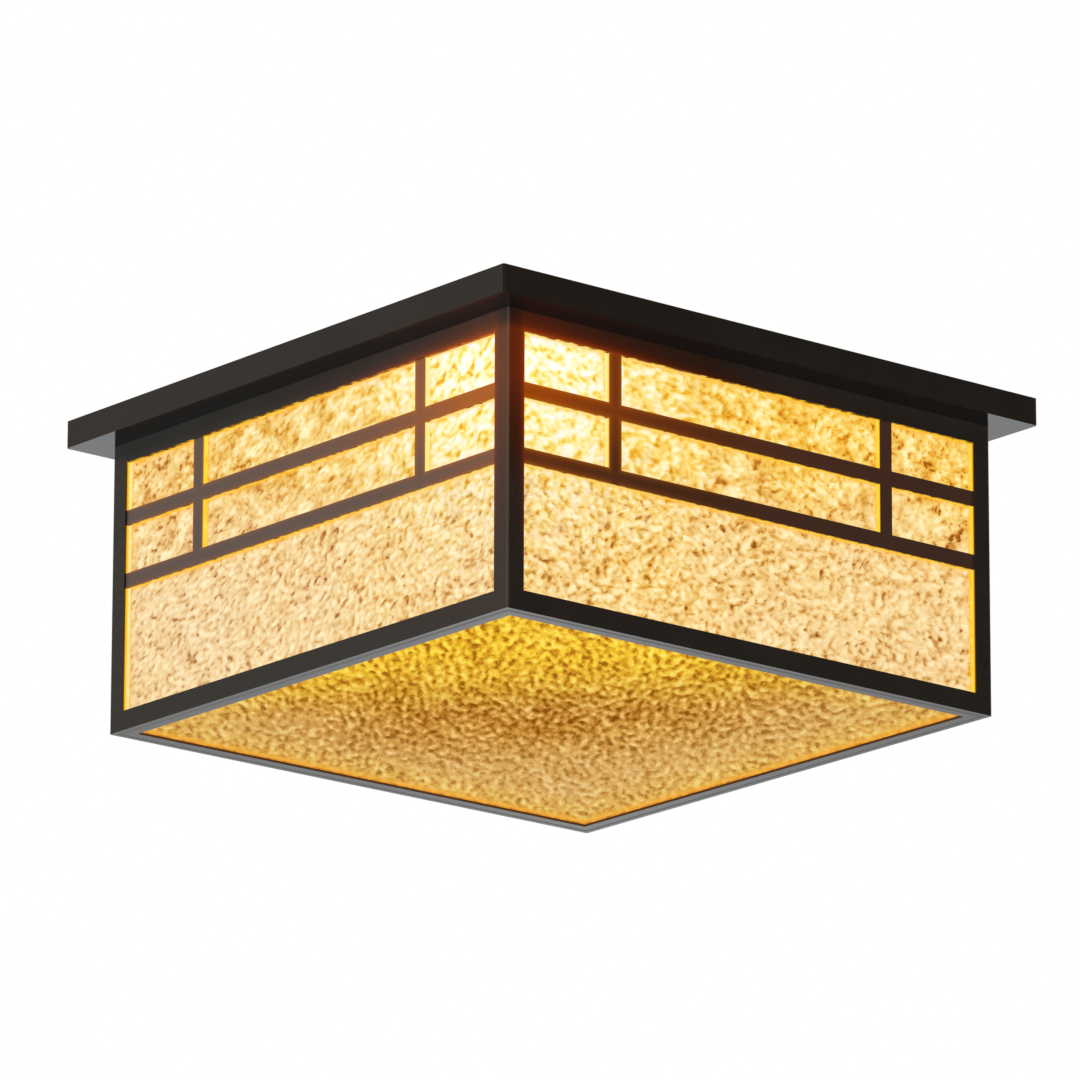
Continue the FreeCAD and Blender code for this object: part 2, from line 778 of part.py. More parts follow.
# ---------------------------------------------------------------- every node
def write_ceiling_parts():
    save("canopy_pan", canopy_pan())
    save("ceiling_gasket", ceiling_gasket())
    save("mounting_strap", mounting_strap())
    save("strap_studs", *strap_studs())
    save("strap_lock_nuts", *strap_lock_nuts())
    save("stud_washers", *stud_washers())
    save("cap_nuts", *cap_nuts())
    save("ground_screw", ground_screw())
    save("wire_grommet", wire_grommet())


def write_cage_parts():
    bores = hinge_bores()
    for name, degrees in CORNERS:
        post = turned(corner_post(), degrees)
        if name.startswith("back"):
            post = post.cut(bores)
        save("post_" + name, post)
    for name, degrees in SIDES:
        save("top_rail_" + name, turned(top_rail(), degrees))
        save("bottom_rail_" + name, turned(bottom_rail(), degrees))
        save("lattice_" + name, turned(lattice(), degrees))
        save("glass_" + name, turned(side_glass(), degrees))
    save("side_seals", *around(side_seal()))
    save("glass_clips", *[copy for clip in glass_clips() for copy in around(clip)])
    save("clip_screws", *[copy for one in clip_screws() for copy in around(one)])
    save("cage_screws", *[copy for one in cage_screws() for copy in around(one)])


def write_lamp_parts():
    save("reflector_tray", reflector_tray())
    save("lampholder_bracket", lampholder_bracket())
    save("bracket_screws", *bracket_screws())
    save("bracket_nuts", *bracket_nuts())
    save("holder_screws", *holder_screws())
    save("terminal_screws", *terminal_screws())
    pieces = (("lampholder", lampholder_body()), ("screw_shell", screw_shell()),
              ("centre_contact", centre_contact()), ("bulb_globe", lamp_globe()),
              ("bulb_cap", lamp_cap()), ("bulb_base", lamp_base()), ("bulb_filament", lamp_filament()))
    for place, angle in LAMPS:
        for name, shape in pieces:
            save(name + "_" + place, along_lamp(shape, angle))


def write_door_parts():
    save("door_frame", door_frame())
    save("door_seal", door_seal())
    save("door_glass", door_glass())
    save("hinge_pins", *hinge_pins())
    save("magnet_brackets", *magnet_brackets())
    save("catch_magnets", *catch_magnets())


os.makedirs("parts", exist_ok=True)
write_ceiling_parts()
write_cage_parts()
write_lamp_parts()
write_door_parts()
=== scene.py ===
"""Looks of the square porch ceiling lantern, lit: paint, hammered amber glass, hardware and lamps.

Metres, +Z up.  The origin is the centre of the ceiling plane; -Y is the front and +X the right side.
"""
import json
import math

import bpy
import numpy as np
from mathutils import Matrix, Vector


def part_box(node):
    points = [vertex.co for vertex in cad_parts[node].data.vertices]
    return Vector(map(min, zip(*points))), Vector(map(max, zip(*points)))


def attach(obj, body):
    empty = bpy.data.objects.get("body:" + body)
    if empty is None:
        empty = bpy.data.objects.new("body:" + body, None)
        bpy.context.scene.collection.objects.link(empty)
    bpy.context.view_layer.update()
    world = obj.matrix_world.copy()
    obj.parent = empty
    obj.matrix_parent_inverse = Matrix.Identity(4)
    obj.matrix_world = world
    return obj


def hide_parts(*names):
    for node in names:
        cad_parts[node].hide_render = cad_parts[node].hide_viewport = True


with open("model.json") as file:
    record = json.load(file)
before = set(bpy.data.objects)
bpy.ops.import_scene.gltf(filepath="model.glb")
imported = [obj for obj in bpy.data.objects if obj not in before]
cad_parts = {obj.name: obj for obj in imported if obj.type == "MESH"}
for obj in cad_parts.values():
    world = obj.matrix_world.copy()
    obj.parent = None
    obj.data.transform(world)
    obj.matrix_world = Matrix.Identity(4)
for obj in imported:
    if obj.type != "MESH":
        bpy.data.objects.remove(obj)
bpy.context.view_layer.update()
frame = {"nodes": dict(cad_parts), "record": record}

MM = 0.001

# ---------------------------------------------------------------- sizes that the frame gives
POST_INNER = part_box("top_rail_front")[1].x            # edge of the lights beside a post
TOP_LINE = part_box("top_rail_front")[0].z              # upper edge of the lights
BOTTOM_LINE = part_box("bottom_rail_front")[1].z        # lower edge of the lights
LOWER_BAR_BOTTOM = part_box("lattice_front")[0].z
BODY_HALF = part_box("post_front_right")[1].x
CAGE_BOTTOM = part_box("bottom_rail_front")[0].z
CANOPY_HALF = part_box("canopy_pan")[1].x
SEAL_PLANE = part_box("side_seals")[1].x                # back of the frame, front of the seals
REVEAL_DEPTH = BODY_HALF - SEAL_PLANE
LATTICE_BAR = 7.6 * MM
LIGHT_HEIGHT = 24.0 * MM
CORNER_LIGHT = 52.1 * MM
DOOR_BAND = 6.5 * MM
DOOR_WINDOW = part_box("door_frame")[1].x - DOOR_BAND

UPPER_BAR = (TOP_LINE - LIGHT_HEIGHT - LATTICE_BAR, TOP_LINE - LIGHT_HEIGHT)
LOWER_BAR = (LOWER_BAR_BOTTOM, LOWER_BAR_BOTTOM + LATTICE_BAR)
UPRIGHT = (POST_INNER - CORNER_LIGHT - LATTICE_BAR, POST_INNER - CORNER_LIGHT)

SIDES = {"front": 0, "right": 90, "back": 180, "left": 270}

# ---------------------------------------------------------------- where the lamps show
# The brightest places: just beyond each lamp's end, in its corner under the reflector
LAMP_END = 0.84                                       # as a share of the cage's half width
HOT_FRONT = Vector((LAMP_END * BODY_HALF, -LAMP_END * BODY_HALF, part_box("bulb_globe_front")[1].z))
HOT_BACK = Vector((-HOT_FRONT.x, -HOT_FRONT.y, HOT_FRONT.z))

# How far around these places each thing still shows their light
WARM_GLASS = 165 * MM
PALE_GLASS = 84 * MM
WHITE_GLASS = 56 * MM
FAINT_FRINGE = 68 * MM
PALE_WALLS = 84 * MM
PALE_SEAL = 84 * MM
BRIGHT_LINTEL = 80 * MM
ORANGE_RIMS = 85 * MM
ORANGE_HALO = 62 * MM


def colour(red, green, blue):
    """Linear colour from the three values of a screen colour, 0 to 255."""
    def linear(value):
        value = value / 255
        return value / 12.92 if value <= 0.04045 else ((value + 0.055) / 1.055) ** 2.4
    return (linear(red), linear(green), linear(blue), 1.0)


def shades(*stops):
    """Stops of a colour ramp, from a position and the three values of a screen colour each."""
    return [(position, colour(*screen)) for position, *screen in stops]


BLACK = (0, 0, 0, 1)


# ---------------------------------------------------------------- short way to write a material
class Graph:
    """The nodes of a material or world. A value may be a number, a colour or another node's output."""

    def __init__(self, owner):
        """owner is a world, or the name of a new material."""
        self.owner = bpy.data.materials.new(owner) if isinstance(owner, str) else owner
        self.owner.use_nodes = True
        self.nodes = self.owner.node_tree.nodes
        self.links = self.owner.node_tree.links
        self.nodes.clear()
        self.place = self.nodes.new("ShaderNodeTexCoord")

    def put(self, socket, value):
        if isinstance(value, bpy.types.NodeSocket):
            self.links.new(value, socket)
        elif value is not None:
            socket.default_value = value

    def make(self, kind, inputs=(), **settings):
        node = self.nodes.new(kind)
        for name, value in settings.items():
            setattr(node, name, value)
        for key, value in dict(inputs).items():
            self.put(node.inputs[key], value)
        return node

    # numbers
    def math(self, operation, a, b=None):
        return self.make("ShaderNodeMath", {0: a, 1: b}, operation=operation).outputs[0]

    def add(self, a, b):
        return self.math("ADD", a, b)

    def take(self, a, b):
        return self.math("SUBTRACT", a, b)

    def rest(self, share):
        """What a share leaves of 1."""
        return self.take(1.0, share)

    def times(self, a, b):
        return self.math("MULTIPLY", a, b)

    def most(self, a, b):
        return self.math("MAXIMUM", a, b)

    def least(self, a, b):
        return self.math("MINIMUM", a, b)

    def size(self, a):
        return self.math("ABSOLUTE", a)

    def over(self, a, limit):
        return self.math("GREATER_THAN", a, limit)

    def between(self, value, limits):
        return self.times(self.over(value, limits[0]), self.over(limits[1], value))

    def pick(self, switch, off, on):
        """One of two numbers, by a switch that is 0 or 1."""
        return self.add(self.times(on, switch), self.times(off, self.rest(switch)))

    def step(self, value, start, end):
        """Smooth 0 to 1 as a value goes from start to end."""
        node = self.make("ShaderNodeMapRange", {0: value, 1: start, 2: end},
                         interpolation_type="SMOOTHSTEP")
        return node.outputs[0]

    def bell(self, distance, reach):
        """1 at no distance, falling like a bell over the reach."""
        ratio = self.math("DIVIDE", distance, reach)
        return self.math("EXPONENT", self.times(self.times(ratio, ratio), -1.0))

    def fade(self, distance, reach):
        """1 at no distance, falling by a factor e per reach."""
        return self.math("EXPONENT", self.math("DIVIDE", distance, -reach))

    # places
    def split(self, vector):
        return self.make("ShaderNodeSeparateXYZ", {0: vector}).outputs

    def here(self):
        """The point's place on the object."""
        return self.split(self.place.outputs["Object"])

    def facing(self):
        """The way that the surface looks."""
        return self.split(self.place.outputs["Normal"])

    def looks_down(self, least=0.5):
        return self.over(self.times(self.facing()[2], -1.0), least)

    def inner(self):
        """The smaller of the distances from the two upright middle planes, largest on the corners."""
        x, y, _ = self.here()
        return self.least(self.size(x), self.size(y))

    def distance(self, point):
        node = self.make("ShaderNodeVectorMath", {0: self.place.outputs["Object"], 1: point},
                         operation="DISTANCE")
        return node.outputs["Value"]

    def move(self, operation, vector, key, value):
        """A vector after one operation with the value at the input of that key."""
        return self.make("ShaderNodeVectorMath", {0: vector, key: value}, operation=operation).outputs[0]

    def mapped(self, vector, angle, scale):
        """A vector in axes that are turned by the angle and stretched per axis."""
        return self.make("ShaderNodeMapping", {0: vector, "Rotation": angle, "Scale": scale},
                         vector_type="TEXTURE").outputs[0]

    def turned(self, angle, scale):
        """Object coordinates in axes that are turned by the angle about Z and stretched per axis."""
        return self.mapped(self.place.outputs["Object"], (0, 0, angle), scale)

    def attribute(self, name, output="Fac"):
        return self.make("ShaderNodeAttribute", attribute_name=name).outputs[output]

    def sheet(self, angle, stretch, swirl):
        """Place on a glass sheet, in axes turned by the angle and stretched along the second.

        A noise that moves the place by up to half the swirl, in metres, bends whatever is drawn over it.
        """
        flat = self.move("MULTIPLY", self.attribute("sheet", "Vector"), 1, (1 / SIDE_STRETCH, 1, 1))
        drift = self.make("ShaderNodeTexNoise", {"Vector": flat, "Scale": SWIRL_SCALE, "Detail": 2.0})
        drift = self.move("SUBTRACT", drift.outputs["Color"], 1, (0.5, 0.5, 0.5))
        flat = self.move("ADD", flat, 1, self.move("SCALE", drift, 3, swirl))
        return self.mapped(flat, (0, 0, angle), (1, stretch, 1))

    # patterns, whose scale is a number per metre
    def noise(self, scale, detail=2.0, roughness=0.5, distortion=0.0, vector=None):
        vector = vector or self.place.outputs["Object"]
        node = self.make("ShaderNodeTexNoise", {"Vector": vector, "Scale": scale, "Detail": detail,
                                                "Roughness": roughness, "Distortion": distortion})
        return node.outputs[0]

    def waver(self, scale, detail=2.0):
        """Noise that goes up and down from 0."""
        return self.take(self.noise(scale, detail), 0.5)

    def cells(self, scale):
        """Distance from the nearest of points that are scattered over the object."""
        node = self.make("ShaderNodeTexVoronoi", {"Vector": self.place.outputs["Object"], "Scale": scale})
        return node.outputs["Distance"]

    # colours and the surface
    def mix(self, factor, a, b):
        return self.make("ShaderNodeMix", {0: factor, 6: a, 7: b}, data_type="RGBA").outputs[2]

    def ramp(self, factor, stops):
        node = self.make("ShaderNodeValToRGB", {0: factor})
        elements = node.color_ramp.elements
        while len(elements) < len(stops):
            elements.new(0.5)
        for element, (position, shade) in zip(elements, stops):
            element.position = position
            element.color = shade
        return node.outputs[0]

    def bump(self, height, distance, strength):
        return self.make("ShaderNodeBump", {"Height": height, "Distance": distance,
                                            "Strength": strength}).outputs[0]

    def finish(self, **inputs):
        """The material, as a Principled surface from keyword inputs, spaces as underscores."""
        surface = self.make("ShaderNodeBsdfPrincipled")
        for name, value in inputs.items():
            self.put(surface.inputs[name.replace("_", " ")], value)
        self.make("ShaderNodeOutputMaterial", {0: surface.outputs[0]})
        return self.owner


def hot(g, reach):
    """1 at either lamp's corner, falling like a bell."""
    return g.most(g.bell(g.distance(HOT_FRONT), reach), g.bell(g.distance(HOT_BACK), reach))


# ---------------------------------------------------------------- paint
PAINT_TONE = (40, 33, 27)
# the same powder coat, a little lighter on the cage: painted light
CAGE_LIT_TONE = (46, 40, 34)
PAINT_GLOSS = 0.22
CANOPY_GLOSS = 0.06
# Painted shadow under the canopy and painted highlight along its corners
CANOPY_SHADE = colour(13, 7, 4)
CANOPY_CORNER_HIGHLIGHT = colour(54, 46, 39)
# Painted highlight along the corners of the cage
ARRIS_HIGHLIGHT = colour(90, 80, 72)
# Painted warm lamplight on the paint beside the lamps
WARM_LAMPLIGHT_BASE = colour(36, 23, 3)
LIT_METAL = colour(24, 14, 4)
# Painted shade and glow on the wall of the door's window
DOOR_WALL_SHADE = colour(20, 10, 4)
DOOR_WALL_GLOW = colour(72, 44, 20)

# Painted glow on the walls of the lights, from the face of the frame (0) to the seal (1), the posts' walls
# painted dark near the face
POST_WALL_GLOW = shades((0.0, 50, 30, 14), (0.30, 110, 60, 10), (0.45, 246, 184, 30), (0.85, 255, 208, 50),
                   (1.0, 255, 226, 130))
BAR_WALL_GLOW = shades((0.45, 214, 140, 22), (0.60, 252, 194, 36), (0.80, 255, 214, 52), (1.0, 255, 224, 84))
HOT_WALL_GLOW = colour(254, 244, 166)

# The undersides of bars and top rail, ragged from the light of the relief: away from the lamps, and
# beside one, redder under the top rail of front and back than everywhere else
LINTEL = shades((0.0, 84, 50, 12), (0.5, 176, 122, 20), (1.0, 238, 184, 46))
HOT_LINTEL_FRONT = shades((0.0, 150, 56, 6), (0.8, 196, 100, 20))
HOT_LINTEL_RIGHT = shades((0.1, 136, 62, 4), (0.45, 220, 158, 50), (0.8, 248, 226, 124))

# Glow on the faces of frame and bars
HALO_ORANGE = (0.37, 0.042, 0.001, 1)
FRAME_COOL_FRONT = (0.007, 0.009, 0.009, 1)
FRAME_GLOW_FRONT = (0.110, 0.026, 0.006, 1)
FRAME_GLOW_RIGHT = (0.100, 0.010, 0.0, 1)
BAR_GLOW_FRONT = (0.082, 0.060, 0.051, 1)
BAR_GLOW_RIGHT = (0.028, 0.008, 0.003, 1)
HOT_BAR_FRONT = (0.375, 0.090, 0.0, 1)
HOT_BAR_RIGHT = (0.290, 0.046, 0.0, 1)
HOT_EDGE = (0.470, 0.115, 0.0, 1)
GAP_GLOW = (0.120, 0.123, 0.127, 1)
BAND_GLOW = (0.055, 0.056, 0.056, 1)

# Heights between which something comes on: the painted warm lamplight on the paint, and the full glow of the
# bars
WARM_RISE = (-0.110, -0.070)
BAR_RISE = (-0.080, -0.050)
GLOW_HEIGHT = -0.046                                  # below it the frame's glow gets weaker

# How far the glow goes: along bars, frame and bottom band from a lamp's corner, down the frame, up the
# top rail and past the corner of a light; and how wide the orange rims of bars and lights are
BAR_REACH = 55 * MM
FRAME_REACH = 58 * MM
BAND_REACH = 120 * MM
DOWN_REACH = 42 * MM
UP_REACH = 9 * MM
CORNER_REACH = 5 * MM
RIM_WIDTH = 1.0 * MM
HALO_WIDTH = 1.3 * MM
WARM_ALONG = (150 * MM, 90 * MM)                      # from nothing to the full painted warm lamplight on the paint

# Just inside the bottom's outer edge: the light gap between rail and door
GAP_START = (BODY_HALF - 4.7 * MM, BODY_HALF - 4.1 * MM)
GAP_END = BODY_HALF - 1.7 * MM


def plain_paint(g, gloss, tone=PAINT_TONE):
    """Base colour, roughness and normal of the dark bronze powder coat."""
    mottle = [(position, colour(*(value + step for value in tone)))
              for position, step in ((0.30, -4), (0.52, 0), (0.74, 4))]
    base = g.ramp(g.noise(38.0, 4.0, 0.6), mottle)
    height = g.add(g.times(g.noise(1500.0, 2.0, 0.6), 0.25), g.noise(420.0, 2.0, 0.5))
    rough = g.add(gloss, g.times(g.noise(900.0, 3.0, 0.7), 0.10))
    return base, rough, g.bump(height, 0.02 * MM, 0.10)


def bronze_paint():
    """The powder coat where the glow of the lamps doesn't reach."""
    g = Graph("bronze_paint")
    base, rough, relief = plain_paint(g, PAINT_GLOSS)
    return g.finish(Base_Color=base, Roughness=rough, Normal=relief, Specular_IOR_Level=0.5, IOR=1.5)


def canopy_paint_and_painted_light():
    """The powder coat of the canopy, whose underside lies in painted shadow, with a painted highlight along
    its corners.
    """
    g = Graph("bronze_paint_canopy_and_painted_light")
    base, rough, relief = plain_paint(g, CANOPY_GLOSS)
    # painted shadow: darker where the canopy looks down
    base = g.mix(g.looks_down(), base, CANOPY_SHADE)
    # painted highlight: lighter along the canopy's corners
    corner = g.step(g.inner(), CANOPY_HALF - 2.2 * MM, CANOPY_HALF - 1.0 * MM)
    base = g.mix(g.times(corner, 0.8), base, CANOPY_CORNER_HIGHLIGHT)
    return g.finish(Base_Color=base, Roughness=rough, Normal=relief, Specular_IOR_Level=0.34, IOR=1.5)


class Spot:
    """Where a point of the cage lies: the measures from which the lamps' glow on it is worked out."""

    def __init__(self, g):
        self.place = g.here()
        self.normal = g.facing()
        self.x = g.size(self.place[0])
        self.y = g.size(self.place[1])
        self.z = self.place[2]
        self.outermost = g.most(self.x, self.y)
        # 0 on the face of the frame, 1 at the seal
        self.depth = g.math("DIVIDE", g.take(BODY_HALF, self.outermost), REVEAL_DEPTH)
        self.ragged = g.add(self.depth, g.times(g.waver(230.0, 1.0), 3.0))
        # whether the surface looks to front or back, and whether it belongs to the front or back side
        self.facing_y = g.over(g.size(self.normal[1]), 0.5)
        self.on_y = g.over(self.y, self.x)
        # how far the point lies from the face's middle, beyond a light's edges, and from a lamp's corner
        self.u = g.pick(self.facing_y, self.y, self.x)
        self.beside = g.most(g.take(self.u, POST_INNER), 0.0)
        self.above = g.most(g.take(self.z, TOP_LINE), 0.0)
        diagonal = g.size(g.take(self.place[0], self.place[1]))
        self.along = g.most(g.take((1 + LAMP_END) * BODY_HALF, diagonal), 0.0)


def light_walls(g, spot):
    """1 on the upright walls of the lights: the sides of posts, rails and bars that look across a light."""
    found = []
    for axis, across in ((1, 0), (0, 1)):
        in_frame = g.over(g.size(spot.place[axis]), SEAL_PLANE - 0.05 * MM)
        aside = g.size(spot.place[across])
        of_bar = g.times(g.over(g.size(spot.normal[across]), 0.5), g.over(POST_INNER - 1 * MM, aside))
        inward = g.over(g.times(g.times(spot.normal[across], spot.place[across]), -1.0), 0.05)
        of_post = g.times(inward, g.over(POST_INNER + 1 * MM, aside))
        found.append(g.times(in_frame, g.most(of_bar, of_post)))
    return g.most(*found)


def bar_faces(g, spot, base):
    """Base colour and glow of the lattice bars: warm beside a lamp, brightest along their edges there."""
    cool = g.mix(spot.facing_y, BAR_GLOW_RIGHT, BAR_GLOW_FRONT)
    row = g.add(0.26, g.times(g.step(spot.z, *BAR_RISE), 0.86))
    strength = g.times(row, g.fade(spot.along, BAR_REACH))
    glow = g.mix(strength, cool, g.mix(spot.facing_y, HOT_BAR_RIGHT, HOT_BAR_FRONT))
    inside = g.least(g.take(spot.u, UPRIGHT[0]), g.take(UPRIGHT[1], spot.u))
    for low, high in (UPPER_BAR, LOWER_BAR):
        inside = g.most(inside, g.least(g.take(spot.z, low), g.take(high, spot.z)))
    shown = g.most(hot(g, ORANGE_RIMS), g.times(spot.facing_y, 0.3))
    rim = g.times(g.fade(g.most(inside, 0.0), RIM_WIDTH), shown)
    return g.mix(rim, base, BLACK), g.mix(rim, glow, HOT_EDGE)


def frame_faces(g, spot, base, rough):
    """Base colour, glow and roughness of posts, rails and door frame."""
    # painted highlight: a lighter line along the corners of the cage
    arris_highlight = g.step(g.inner(), BODY_HALF - 1.3 * MM, BODY_HALF - 0.5 * MM)
    base = g.mix(arris_highlight, base, ARRIS_HIGHLIGHT)
    # the glow, which fades from the nearer lamp's corner along the face, down it and up the top rail
    down = g.fade(g.most(g.take(GLOW_HEIGHT, spot.z), 0.0), DOWN_REACH)
    down = g.mix(spot.facing_y, g.times(down, down), down)
    strength = g.times(g.fade(spot.along, FRAME_REACH), down)
    past_corner = g.fade(g.least(spot.beside, spot.above), CORNER_REACH)
    strength = g.times(strength, g.times(g.fade(spot.above, UP_REACH), past_corner))
    cool = g.mix(spot.facing_y, BLACK, FRAME_COOL_FRONT)
    glow = g.mix(strength, cool, g.mix(spot.facing_y, FRAME_GLOW_RIGHT, FRAME_GLOW_FRONT))
    # the orange halo around a light beside a lamp
    outside = g.most(spot.beside, g.most(spot.above, g.take(BOTTOM_LINE, spot.z)))
    halo = g.times(g.fade(g.most(outside, 0.0), HALO_WIDTH), hot(g, ORANGE_HALO))
    base = g.mix(halo, base, BLACK)
    glow = g.mix(halo, glow, HALO_ORANGE)
    # the painted glow in the gap around the door, painted shade and a faint painted glow on the wall of its
    # window, and the glow of the band around the bottom
    low = g.times(g.over(0.98, g.size(spot.normal[2])), g.over(CAGE_BOTTOM + 4 * MM, spot.z))
    in_gap = g.times(g.step(spot.outermost, *GAP_START), g.over(GAP_END, spot.outermost))
    glow = g.mix(g.times(low, in_gap), glow, GAP_GLOW)
    door_wall = g.times(low, g.over(DOOR_WINDOW + 1 * MM, spot.outermost))
    # painted shade: a dark reddish base on the wall of the door's window
    base = g.mix(door_wall, base, DOOR_WALL_SHADE)
    glow = g.mix(door_wall, glow, DOOR_WALL_GLOW)
    band = g.times(g.looks_down(0.98), g.over(CAGE_BOTTOM + 1 * MM, spot.z))
    glow = g.mix(g.times(band, g.fade(spot.along, BAND_REACH)), glow, BAND_GLOW)
    return base, glow, g.most(rough, door_wall)


def cage_paint_and_painted_light(name, bars):
    """The powder coat beside the lights, where the lamps' light on their walls and on the metal next to them
    is painted in as glow and colour.
    """
    g = Graph(name)
    spot = Spot(g)
    # painted light: the cage's lighter copy of the powder coat's tone
    base, rough, relief = plain_paint(g, PAINT_GLOSS, CAGE_LIT_TONE)
    # painted light: the paint turns warm near a lamp's corner, high up, except where it looks to front or
    # back
    warm = g.times(g.step(spot.along, *WARM_ALONG), g.rest(spot.facing_y))
    base = g.mix(g.times(warm, g.step(spot.z, *WARM_RISE)), base, WARM_LAMPLIGHT_BASE)
    under = g.times(g.looks_down(), g.over(spot.z, CAGE_BOTTOM + 1 * MM))
    under = g.times(under, g.over(TOP_LINE + 0.5 * MM, spot.z))
    walls = light_walls(g, spot)
    hot_lintel = g.ramp(spot.ragged, HOT_LINTEL_RIGHT)
    if bars:
        base, glow = bar_faces(g, spot, base)
    else:
        base, glow, rough = frame_faces(g, spot, base, rough)
        hot_lintel = g.mix(spot.on_y, hot_lintel, g.ramp(spot.ragged, HOT_LINTEL_FRONT))
        # no light comes through where a bar stands behind the frame's edge
        under = g.times(under, g.rest(g.between(g.pick(spot.on_y, spot.y, spot.x), UPRIGHT)))
        for bar in (UPPER_BAR, LOWER_BAR):
            walls = g.times(walls, g.rest(g.between(spot.z, bar)))
    lintel = g.mix(hot(g, BRIGHT_LINTEL), g.ramp(spot.ragged, LINTEL), hot_lintel)
    glow = g.mix(under, glow, lintel)
    pale = g.times(hot(g, PALE_WALLS), g.add(0.35, g.times(spot.on_y, 0.65)))
    # painted glow on the walls of the lights, paler beside a lamp
    wall = g.mix(pale, g.ramp(spot.depth, BAR_WALL_GLOW if bars else POST_WALL_GLOW), HOT_WALL_GLOW)
    glow = g.mix(walls, glow, wall)
    lit = g.most(under, walls)
    return g.finish(Base_Color=g.mix(lit, base, LIT_METAL), Roughness=g.most(rough, lit), Normal=relief,
                    Specular_IOR_Level=0.25, IOR=1.5, Emission_Color=glow, Emission_Strength=1.0)


# ---------------------------------------------------------------- relief of the hammered glass
RELIEF_DEPTH = 0.7 * MM
SIDE_BUMPS = 4.6 * MM                                 # from one bump to the next
BOTTOM_BUMPS = 5.6 * MM
BROAD_BUMPS = 10.0 * MM
SIDE_STRETCH = 1.4
BOTTOM_STRETCH = 3.1
VIEW_TURN = math.radians(50.25)                       # the bottom's bumps are drawn out across this line
SIDE_PITCH = 0.75 * MM
BOTTOM_PITCH = 1.05 * MM


def ranked(field):
    """The same field with its values spread evenly from 0 to 1."""
    return field.ravel().argsort().argsort().reshape(field.shape) / field.size


def relief_noise(shape, pitch, seed, wavelength, stretch, heading):
    """Hammered relief: bumps a wavelength apart, drawn out in a slowly turning direction.

    The whole is stretched by a factor along one heading of the sheet.
    """
    random = np.random.default_rng(seed)
    rows = np.fft.fftfreq(shape[0], pitch[0])[:, None]
    columns = np.fft.fftfreq(shape[1], pitch[1])[None, :]
    long = (columns * math.cos(heading) + rows * math.sin(heading)) * stretch
    short = rows * math.cos(heading) - columns * math.sin(heading)

    def filtered(spectrum, weights):
        return np.fft.ifft2(spectrum * weights).real

    def white_noise():
        return np.fft.fft2(random.standard_normal(shape))

    # the direction, in radians, turns over some seven bumps
    turn = filtered(white_noise(), np.exp(-(long ** 2 + short ** 2) * (7 * wavelength) ** 2))
    turn = turn / turn.std() * 0.8
    white = white_noise()
    total = np.zeros(shape)
    power = np.zeros(shape)
    directions = 6
    spread, length = 0.75, 0.75           # of the bumps' sizes across and along, against the wavelength
    lean = 0.9                            # radians between the turning direction and the bumps
    for step in range(directions):
        angle = math.pi * step / directions
        along = long * math.cos(angle) + short * math.sin(angle)
        across = short * math.cos(angle) - long * math.sin(angle)
        band = ((np.abs(across) * wavelength - 1.0) / spread) ** 2 + (along * length * wavelength) ** 2
        layer = filtered(white, np.exp(-band))
        weight = np.cos(turn - angle + lean) ** 4
        total += layer / layer.std() * weight
        power += weight ** 2
    # round bumps between the drawn ones
    size = np.sqrt(long ** 2 + short ** 2) * wavelength
    plain = filtered(white_noise(), np.exp(-((size - 0.9) / 0.6) ** 2))
    return ranked(total / np.sqrt(power) + 0.8 * plain / plain.std())


def light_edges(u, z):
    """Distance from a point of a side glass to the nearest bar that can be seen in front of it."""
    distance = np.minimum(POST_INNER - np.abs(u), np.minimum(TOP_LINE - z, z - BOTTOM_LINE))
    for low, high in (UPPER_BAR, LOWER_BAR):
        distance = np.minimum(distance, np.maximum(low - z, z - high))
    beside = np.maximum(UPRIGHT[0] - np.abs(u), np.abs(u) - UPRIGHT[1])
    beside = np.maximum(beside, LOWER_BAR[1] - z)
    return np.minimum(distance, beside)


def window_edges(u, v):
    """Distance from a point of the bottom glass to the edge of the door's window."""
    return DOOR_WINDOW - np.maximum(np.abs(u), np.abs(v))


